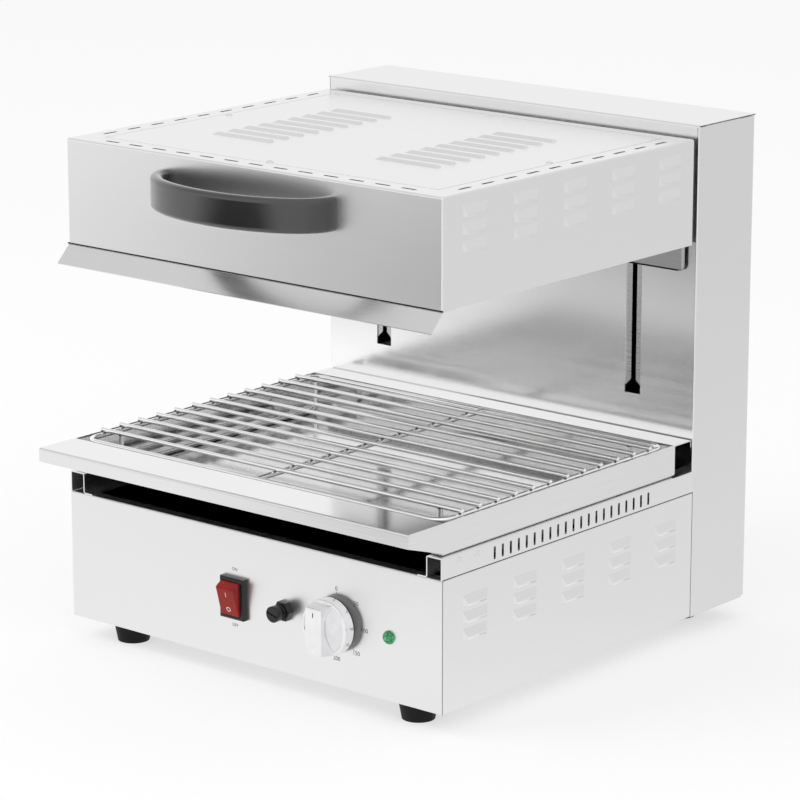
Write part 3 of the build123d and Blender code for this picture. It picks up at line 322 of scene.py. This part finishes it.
# Black for painted shadow lines at seams and edges
seamShadowBlack = mouldedGrain("seamShadow", {
    "dark": even(0.008), "light": even(0.02), "grain": 1500.0, "rough": (0.7, 0.8), "bump": 0.02,
    "gloss": 0.1})
visorSteel = brushedSheet("visorSteel", {
    "dark": even(0.85), "light": even(0.88), "along": 12.0, "across": 1500.0, "rough": (0.2, 0.25),
    "bump": 0.006})
# Paler than the casing steel: a painted highlight on the louvre lips
lipHighlightSteel = brightMetal("lipHighlightSteel", {
    "dark": even(0.95), "light": even(0.98), "cycles": even(400.0), "rough": (0.3, 0.4), "bump": 0.01})
screwSteel = brightMetal("screwSteel", {
    "dark": even(0.80), "light": even(0.88), "cycles": even(400.0), "rough": (0.16, 0.24), "bump": 0.02})

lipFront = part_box("guide_left")[0].y
# Guide steel with painted shade in the depth of the channel
guideSteel = shadedChannel("guideSteel", {
    "dark": even(0.50), "light": even(0.62), "along": 20.0, "across": 900.0, "rough": (0.25, 0.35),
    "bump": 0.02, "deep": even(0.01), "shadeDepthFrom": lipFront + 2 * mm, "shadeDepthTo": lipFront + 4 * mm})
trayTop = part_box("drip_tray")[1].z
# Column steel with a painted reflection of the tray low on its front
columnSteel = trayReflectionFoot("columnSteel", {
    "dark": even(0.80), "light": even(0.83), "along": 12.0, "across": 1500.0, "rough": (0.15, 0.19),
    "bump": 0.006, "foot": even(1.0), "frontTo": -0.9, "footFrom": trayTop + 20 * mm,
    "footTo": trayTop + 75 * mm})

ownFinish = {"base_deck": deckShadeBlack, "guide_left": guideSteel, "guide_right": guideSteel,
             "column_wrap": columnSteel, "visor": visorSteel}
for part in frame["record"]["subparts"]:
    shown = nodes[part["node"]]
    shown.data.materials.clear()
    shown.data.materials.append(ownFinish.get(part["node"], finishes[part["material_slot"]]))
print("finishes given to every piece")


# New pieces: closed surfaces of rings between two poles, worked out as whole arrays

# Triangles from the first pole, quads between the rings, triangles to the last pole
def polarFaces(rings, columns):
    index = 1 + np.arange(rings * columns).reshape(rings, columns)
    index = np.concatenate([index, index[:, :1]], axis=1)
    quads = np.stack([index[:-1, :-1], index[1:, :-1], index[1:, 1:], index[:-1, 1:]], axis=-1).reshape(-1, 4)
    first = np.zeros(columns, int)
    last = np.full(columns, 1 + rings * columns)
    fans = [np.stack([first, index[0, :-1], index[0, 1:]], axis=1),
            np.stack([last, index[-1, 1:], index[-1, :-1]], axis=1)]
    return quads, np.concatenate(fans)


# Puts surfaces of one kind into a single mesh that rides on a body
def makePiece(name, surfaces, rings, columns, finish, body, smooth=True, stands=None):
    quads, fans = polarFaces(rings, columns)
    step = (np.arange(len(surfaces)) * len(surfaces[0])).reshape(-1, 1, 1)
    faces = (quads + step).reshape(-1, 4).tolist() + (fans + step).reshape(-1, 3).tolist()
    mesh = bpy.data.meshes.new(name)
    mesh.from_pydata(np.concatenate(surfaces).tolist(), [], faces)
    mesh.materials.append(finish)
    mesh.polygons.foreach_set("use_smooth", np.full(len(mesh.polygons), smooth))
    piece = bpy.data.objects.new(name, mesh)
    bpy.context.scene.collection.objects.link(piece)
    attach(piece, body)
    if stands:
        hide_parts(stands)


# Turns local points (right, up, out) into the object's frame
def seat(points, place, right, up, out):
    return np.asarray(place) + points @ np.array([right, up, out], float)


upWay = ((1, 0, 0), (0, 1, 0), (0, 0, 1))
backWay = ((-1, 0, 0), (0, 0, 1), (0, 1, 0))
frontWay = ((1, 0, 0), (0, 0, 1), (0, -1, 0))
sideWay = {hand: ((0, hand, 0), (0, 0, 1), (hand, 0, 0)) for hand in (-1, 1)}


# Pan-head screw: a dome rise * sqrt(1 - (r / head)^4) over a rim, less a cross whose two arms are slabs with
# soft walls, then the flat underside and a plain shank. Each screw of a set is turned further than the last,
# in degrees.
screw = {"head": 3.5 * mm, "stand": 2.0 * mm, "rise": 0.9 * mm, "rim": 0.2 * mm, "shank": 2.0 * mm,
         "armHalf": 0.42 * mm, "armLong": 1.9 * mm, "wall": 0.22 * mm, "deep": 0.6 * mm,
         "rings": 18, "underRings": 3, "columns": 64, "firstTurn": 18, "nextTurn": 41,
         "railShank": 8.7 * mm, "coverShank": 4.8 * mm, "backShank": 6.0 * mm}


def slab(across, along):
    inside = np.clip((screw["armHalf"] + screw["wall"] - np.abs(across)) / screw["wall"], 0, 1)
    return inside * np.clip((screw["armLong"] + screw["wall"] - np.abs(along)) / screw["wall"], 0, 1)


def screwSurface(shankLong):
    angle = np.linspace(0, 2 * np.pi, screw["columns"], endpoint=False)
    radius = np.linspace(0, screw["head"], screw["rings"] + 1)[1:]
    far, turn = np.meshgrid(radius, angle, indexing="ij")
    across, along = far * np.cos(turn), far * np.sin(turn)
    dome = screw["rim"] + (screw["rise"] - screw["rim"]) * np.sqrt(1 - (far / screw["head"]) ** 4)
    top = dome - screw["deep"] * np.maximum(slab(across, along), slab(along, across))
    upper = np.stack([across, along, top], axis=-1).reshape(-1, 3)
    lower = np.array([(screw["head"], 0), (screw["shank"], 0), (screw["shank"], -shankLong)])
    wide, turn = np.meshgrid(lower[:, 0], angle, indexing="ij")
    drop = np.repeat(lower[:, 1:], len(angle), axis=1)
    under = np.stack([wide * np.cos(turn), wide * np.sin(turn), drop], axis=-1).reshape(-1, 3)
    return np.concatenate([[(0, 0, screw["rise"] - screw["deep"])], upper, under, [(0, 0, -shankLong)]])


def screwSet(node, places, ways, shankLong, body):
    heads = []
    for count, (place, (right, up, out)) in enumerate(zip(places, ways)):
        turn = math.radians(screw["firstTurn"] + screw["nextTurn"] * count)
        right, up = np.array(right, float), np.array(up, float)
        heads.append(seat(screwSurface(shankLong), place, math.cos(turn) * right + math.sin(turn) * up,
                          math.cos(turn) * up - math.sin(turn) * right, out))
    makePiece(node + "_heads", heads, screw["rings"] + screw["underRings"], screw["columns"], screwSteel,
              body, stands=node)


sideLow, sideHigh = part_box("rail_screws")
sideSpots = [(hand * (sideHigh.x - screw["stand"]), y, (sideLow.z + sideHigh.z) / 2) for hand in (-1, 1)
             for y in (sideLow.y + screw["head"], sideHigh.y - screw["head"])]
screwSet("rail_screws", sideSpots, [sideWay[hand] for hand in (-1, -1, 1, 1)], screw["railShank"], "chassis")

topLow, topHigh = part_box("cover_screws")
topZ = topHigh.z - screw["stand"]
topSide, topFront, topBack = topHigh.x - screw["head"], topLow.y + screw["head"], topHigh.y - screw["head"]
coverLow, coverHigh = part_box("head_cover")
coverMid = (coverLow.y + coverHigh.y) / 2
topSpots = [(-topSide, coverMid, topZ), (topSide, coverMid, topZ), (0, topFront, topZ), (0, topBack, topZ),
            (-topSide, topBack, topZ), (topSide, topBack, topZ)]
screwSet("cover_screws", topSpots, [upWay] * len(topSpots), screw["coverShank"], "head")

rearLow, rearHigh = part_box("back_screws")
rearSpots = [(hand * (rearHigh.x - screw["head"]), rearHigh.y - screw["stand"], z) for hand in (-1, 1)
             for z in (rearLow.z + screw["head"], (rearLow.z + rearHigh.z) / 2, rearHigh.z - screw["head"])]
screwSet("back_screws", rearSpots, [backWay] * len(rearSpots), screw["backShank"], "chassis")
print("screw heads set")


# Lamp jewel: rings of facets on a dome, every other ring turned by half a facet, shaded flat. Each ring is
# given by its share of the radius and of the dome's height.
jewel = {"dome": 5.0 * mm, "facets": 10,
         "rings": ((0.30, 0.98), (0.62, 0.82), (0.88, 0.46), (1.0, 0.1), (1.0, -0.2))}


def jewelSurface(radius):
    wide, high = np.array(jewel["rings"]).T
    ring = np.arange(len(wide)).reshape(-1, 1)
    turn = (np.arange(jewel["facets"]) + 0.5 * (ring % 2)) * 2 * np.pi / jewel["facets"]
    wide = wide.reshape(-1, 1) * radius
    level = np.repeat(high.reshape(-1, 1) * jewel["dome"], jewel["facets"], axis=1)
    rings = np.stack([wide * np.cos(turn), wide * np.sin(turn), level], axis=-1).reshape(-1, 3)
    return np.concatenate([[(0, 0, jewel["dome"])], rings, [(0, 0, jewel["rings"][-1][1] * jewel["dome"])]])


lensLow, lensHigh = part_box("pilot_lens")
lensSpot = ((lensLow.x + lensHigh.x) / 2, lensLow.y + jewel["dome"], (lensLow.z + lensHigh.z) / 2)
lensSurface = seat(jewelSurface((lensHigh.x - lensLow.x) / 2), lensSpot, *frontWay)
makePiece("lamp_jewel", [lensSurface], len(jewel["rings"]), jewel["facets"], finishes["lamp_green"],
          "chassis", smooth=False, stands="pilot_lens")


# Bar: an ellipse of a width and a rise, carried from start to end on the side that faces out
bar = {"rings": 2, "columns": 12}


def barSurface(start, end, out, wide, rise):
    start, end, out = (np.array(v, float) for v in (start, end, out))
    along = (end - start) / np.linalg.norm(end - start)
    turn = np.linspace(0, 2 * np.pi, bar["columns"], endpoint=False).reshape(-1, 1)
    ring = np.cos(turn) * wide / 2 * np.cross(along, out) + np.sin(turn) * rise * out
    return np.concatenate([[start], start + ring, end + ring, [end]])


def makeBars(name, bars, finish, body):
    makePiece(name, bars, bar["rings"], bar["columns"], finish, body)


# Painted shadow lines at the seams where two sheets meet and along the carriage plate's lower edge: a dark
# line a little proud of the joint
seams = {"wide": 0.7 * mm, "rise": 0.06 * mm, "cornerIn": 1.2 * mm,
         "visorWide": 1.3 * mm, "visorEnd": 1.5 * mm, "visorUp": 0.3 * mm,
         "plateWide": 2.2 * mm, "plateEnd": 6 * mm, "plateIn": 0.6 * mm, "plateOut": (0, -0.7071, -0.7071)}
frontLow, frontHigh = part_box("base_front")
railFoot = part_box("rail_right")[0].z
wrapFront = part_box("column_wrap")[0].y
capLow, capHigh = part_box("column_cap")
capSeam = capHigh.z - seams["wide"]
corner = frontLow.y + seams["cornerIn"]
chassisSeams = []
for hand in (-1, 1):
    face, capFace = hand * frontHigh.x, hand * capHigh.x
    for start, end in (((face, corner, railFoot), (face, wrapFront, railFoot)),
                       ((face, wrapFront, frontLow.z), (face, wrapFront, railFoot)),
                       ((face, corner, frontLow.z), (face, corner, railFoot)),
                       ((capFace, capLow.y, capSeam), (capFace, capHigh.y, capSeam))):
        chassisSeams.append(barSurface(start, end, (hand, 0, 0), seams["wide"], seams["rise"]))
makeBars("sheet_seam_shadows", chassisSeams, seamShadowBlack, "chassis")

casingLow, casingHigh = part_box("head_casing")
visorZ = casingLow.z + seams["visorUp"]
visorSeam = barSurface((casingLow.x + seams["visorEnd"], casingLow.y, visorZ),
                       (casingHigh.x - seams["visorEnd"], casingLow.y, visorZ),
                       (0, -1, 0), seams["visorWide"], seams["rise"])
# Painted shadow along the carriage plate's rounded lower edge
plateLow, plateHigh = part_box("carriage_plate")
plateY, plateZ = plateLow.y + seams["plateIn"], plateLow.z + seams["plateIn"]
plateEdgeShadow = barSurface((plateLow.x + seams["plateEnd"], plateY, plateZ),
                       (plateHigh.x - seams["plateEnd"], plateY, plateZ),
                       seams["plateOut"], seams["plateWide"], seams["rise"])
makeBars("head_seam_shadows", [visorSeam, plateEdgeShadow], seamShadowBlack, "head")


# Louvre lips: the rolled lower edge of each pressed hood, on both sides of the base and the head, in a paler
# steel than the casing as a painted highlight
lips = {"columns": 5, "rows": 3, "columnPitch": 70.4 * mm, "rowPitch": 15.3 * mm, "midY": -21.0 * mm,
        "half": 13.0 * mm, "below": 4.6 * mm, "stand": 2.3 * mm, "wide": 1.5 * mm, "rise": 0.4 * mm,
        "headDown": 31.0 * mm, "baseDown": 40.0 * mm}


def louvreLips(name, faceX, midZ, body):
    bars = []
    for hand in (-1, 1):
        x = hand * (faceX + lips["stand"])
        for column in range(lips["columns"]):
            y = lips["midY"] + (column - (lips["columns"] - 1) / 2) * lips["columnPitch"]
            for row in range(lips["rows"]):
                z = midZ + (row - (lips["rows"] - 1) / 2) * lips["rowPitch"] - lips["below"]
                bars.append(barSurface((x, y - lips["half"], z), (x, y + lips["half"], z), (hand, 0, 0),
                                       lips["wide"], lips["rise"]))
    makeBars(name, bars, lipHighlightSteel, body)


louvreLips("base_louvre_lips", frontHigh.x, railFoot - lips["baseDown"], "chassis")
louvreLips("head_louvre_lips", casingHigh.x - lips["stand"] - lips["rise"], casingHigh.z - lips["headDown"],
           "head")
print("seams, lips and lamp set")


# Printing: text made a mesh, laid on a face given by its place and its right, up and out ways
printing = {"lift": 0.04 * mm, "thick": 0.03 * mm, "small": 4.2 * mm, "wordGap": 7.0 * mm}


def printWord(name, words, place, ways, size, finish, body):
    curve = bpy.data.curves.new(name, "FONT")
    curve.body = words
    curve.size = size
    curve.align_x = "CENTER"
    curve.align_y = "CENTER"
    curve.extrude = printing["thick"]
    holder = bpy.data.objects.new(name + "Curve", curve)
    bpy.context.scene.collection.objects.link(holder)
    bpy.context.view_layer.update()
    flat = bpy.data.meshes.new_from_object(holder.evaluated_get(bpy.context.evaluated_depsgraph_get()))
    points = np.empty(len(flat.vertices) * 3)
    flat.vertices.foreach_get("co", points)
    flat.vertices.foreach_set("co", seat(points.reshape(-1, 3), place, *ways).ravel())
    flat.materials.clear()
    flat.materials.append(finish)
    flat.name = name
    bpy.data.objects.remove(holder)
    piece = bpy.data.objects.new(name, flat)
    bpy.context.scene.collection.objects.link(piece)
    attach(piece, body)


def printPanel(name, words, place, size):
    printWord(name, words, place, frontWay, size, inkDark, "chassis")


panelY = frontLow.y - printing["lift"]
switchLow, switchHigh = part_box("switch_frame")
switchX = (switchLow.x + switchHigh.x) / 2
for word, z in (("ON", switchHigh.z + printing["wordGap"]), ("OFF", switchLow.z - printing["wordGap"])):
    printPanel("mark_" + word, word, (switchX, panelY, z), printing["small"])

# Dial round the knob: a number and a tick at each step, turned clockwise from the top in degrees
dial = {"steps": 7, "stepTurn": 45, "stepHeat": 50, "size": 5.6 * mm, "radius": 32.5 * mm,
        "tickFrom": 28.0 * mm, "tickTo": 29.4 * mm, "tickWide": 0.5 * mm}
skirtLow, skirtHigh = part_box("knob_skirt")
dialX, dialZ = (skirtLow.x + skirtHigh.x) / 2, (skirtLow.z + skirtHigh.z) / 2
centre = np.array([dialX, panelY, dialZ])
ticks = []
for step in range(dial["steps"]):
    turn = math.radians(dial["stepTurn"] * step)
    way = np.array([math.sin(turn), 0, math.cos(turn)])
    printPanel("dial_%d" % step, str(dial["stepHeat"] * step), centre + dial["radius"] * way, dial["size"])
    ticks.append(barSurface(centre + dial["tickFrom"] * way, centre + dial["tickTo"] * way, (0, -1, 0),
                            dial["tickWide"], printing["thick"]))
makeBars("dial_ticks", ticks, inkDark, "chassis")

# Rocker marks on its tilted face
rocker = {"face": 9.0 * mm, "tilt": math.radians(15), "markSize": 6.5 * mm, "markApart": 7.5 * mm}
pivot = np.array(next(joint["pos_m"] for joint in joints if joint["name"] == "rocker_tilt"))
faceOut = np.array([0, -math.cos(rocker["tilt"]), -math.sin(rocker["tilt"])])
faceUp = np.array([0, -math.sin(rocker["tilt"]), math.cos(rocker["tilt"])])
for word, side in (("I", 1), ("O", -1)):
    place = pivot + (rocker["face"] + printing["lift"]) * faceOut + side * rocker["markApart"] * faceUp
    printWord("rocker_" + word, word, place, ((1, 0, 0), faceUp, faceOut), rocker["markSize"], inkWhite,
              "rocker")

# Pointer on the knob's grip
pointer = {"from": 13.0 * mm, "to": 17.5 * mm, "wide": 1.1 * mm}
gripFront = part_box("knob")[0].y
pointerBar = barSurface((dialX, gripFront, dialZ + pointer["from"]),
                        (dialX, gripFront, dialZ + pointer["to"]),
                        (0, -1, 0), pointer["wide"], printing["thick"])
makeBars("knob_pointer", [pointerBar], finishes["knob_black"], "heat_knob")
print("panel printed")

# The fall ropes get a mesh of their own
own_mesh(nodes["fall_ropes"])
print("ropes set")


# Floor, world and lamps. What the camera sees is white; what metal mirrors falls off softly across the room.
# Each fade goes from one measure to another and from one strength to another.

stageLook = {"floorSize": 14.0, "floorTone": 0.97, "worldTone": 0.86, "whiteShare": 0.6,
             "rightWay": (0.655, 0.755, 0.0),
             "rightNear": (-0.2, 0.4, 1.0, 0.87), "rightFar": (0.4, 1.9, 1.0, 0.90),
             "frontSpot": (-0.6, -2.03, 0.0), "frontFade": (0.6, 1.2, 0.08, 0.97),
             "lipSpot": (-0.2, -0.9, 0.0), "lipFade": (0.1, 0.35, 0.7, 1.0),
             "skyWay": (-0.62, -0.31, 0.71), "skyFade": (0.84, 0.98, 1.0, 0.68),
             "ribWay": (-0.40, 0.47, 0.79), "ribFade": (0.84, 0.97, 1.0, 0.7),
             "wallFade": (0.25, 0.8, 1.0, 0.785)}
white = (1.0, 1.0, 1.0, 1.0)


def fade(tree, value, limits):
    return spread(tree, value, limits[2], limits[3], limits[0], limits[1])


def lengthAlong(tree, vector, way):
    return addNode(tree, "VectorMath", {0: vector, 1: way}, operation="DOT_PRODUCT").outputs["Value"]


def mixShaders(tree, share, first, second):
    return addNode(tree, "MixShader", {0: share, 1: first.outputs[0], 2: second.outputs[0]})


def makeFloor():
    half = stageLook["floorSize"] / 2
    corners = [(-half, -half, 0), (half, -half, 0), (half, half, 0), (-half, half, 0)]
    mesh = bpy.data.meshes.new("floor")
    mesh.from_pydata(corners, [], [(0, 1, 2, 3)])
    material = bpy.data.materials.new("paleFloor")
    material.use_nodes = True
    tree = material.node_tree
    tree.nodes.clear()
    spot = addNode(tree, "TexCoord").outputs["Object"]
    along = lengthAlong(tree, spot, stageLook["rightWay"])
    mirrored = reckon(tree, "MULTIPLY", fade(tree, along, stageLook["rightNear"]),
                      fade(tree, along, stageLook["rightFar"]))
    for place, limits in (("frontSpot", "frontFade"), ("lipSpot", "lipFade")):
        away = addNode(tree, "VectorMath", {0: spot, 1: stageLook[place]}, operation="DISTANCE")
        mirrored = reckon(tree, "MULTIPLY", mirrored, fade(tree, away.outputs["Value"], stageLook[limits]))
    ray = addNode(tree, "LightPath")
    matt = addNode(tree, "BsdfDiffuse", {"Color": (*even(stageLook["floorTone"]), 1.0)})
    plain = addNode(tree, "Emission", {"Color": white, "Strength": 1.0})
    faded = addNode(tree, "Emission", {"Color": white, "Strength": mirrored})
    share = reckon(tree, "MULTIPLY", ray.outputs["Is Camera Ray"], stageLook["whiteShare"])
    both = mixShaders(tree, ray.outputs["Is Glossy Ray"], mixShaders(tree, share, matt, plain), faded)
    addNode(tree, "OutputMaterial", {"Surface": both.outputs[0]})
    mesh.materials.append(material)
    floor = bpy.data.objects.new("floor", mesh)
    bpy.context.scene.collection.objects.link(floor)


def makeWorld():
    world = bpy.data.worlds.new("studio")
    world.use_nodes = True
    tree = world.node_tree
    tree.nodes.clear()
    way = addNode(tree, "TexCoord").outputs["Generated"]
    room = fade(tree, lengthAlong(tree, way, stageLook["rightWay"]), stageLook["wallFade"])
    for side, limits in (("skyWay", "skyFade"), ("ribWay", "ribFade")):
        along = lengthAlong(tree, way, stageLook[side])
        room = reckon(tree, "MULTIPLY", room, fade(tree, along, stageLook[limits]))
    ray = addNode(tree, "LightPath")
    plain = addNode(tree, "Background", {"Color": white, "Strength": 1.0})
    mirrored = addNode(tree, "Background", {"Color": white, "Strength": room})
    soft = addNode(tree, "Background", {"Color": white, "Strength": stageLook["worldTone"]})
    clear = reckon(tree, "MAXIMUM", ray.outputs["Is Camera Ray"], ray.outputs["Is Transmission Ray"])
    both = mixShaders(tree, ray.outputs["Is Glossy Ray"], mixShaders(tree, clear, soft, plain), mirrored)
    addNode(tree, "OutputWorld", {"Surface": both.outputs[0]})
    bpy.context.scene.world = world


# Soft lamps that metal doesn't mirror, all aimed at the middle of the grill
lamps = {"target": (0.0, 0.0, 0.25),
         "keyLamp": {"place": (-1.6, -1.9, 2.4), "size": 1.8, "watts": 26.0},
         "fillLamp": {"place": (2.2, -1.0, 1.8), "size": 1.6, "watts": 10.0}}


def softLamp(name):
    look = lamps[name]
    lamp = bpy.data.lights.new(name, "AREA")
    lamp.shape = "SQUARE"
    lamp.size = look["size"]
    lamp.energy = look["watts"]
    holder = bpy.data.objects.new(name, lamp)
    aim = Vector(lamps["target"]) - Vector(look["place"])
    holder.location = look["place"]
    holder.rotation_euler = aim.to_track_quat("-Z", "Y").to_euler()
    holder.visible_glossy = False
    bpy.context.scene.collection.objects.link(holder)


makeFloor()
makeWorld()
softLamp("keyLamp")
softLamp("fillLamp")

# Camera: yaw left of +Y, pitch down
view = {"place": (2.11674, -2.51538, 1.05946), "yaw": 0.6987, "pitch": 0.2481,
        "lens": 162.915, "sensor": 36.0}
cameraData = bpy.data.cameras.new("camera")
cameraData.lens = view["lens"]
cameraData.sensor_width = view["sensor"]
camera = bpy.data.objects.new("camera", cameraData)
camera.location = view["place"]
camera.rotation_euler = (math.pi / 2 - view["pitch"], 0.0, view["yaw"])
bpy.context.scene.collection.objects.link(camera)
bpy.context.scene.camera = camera
bpy.context.scene.view_settings.view_transform = "Standard"
print("stage, lamps and camera set")
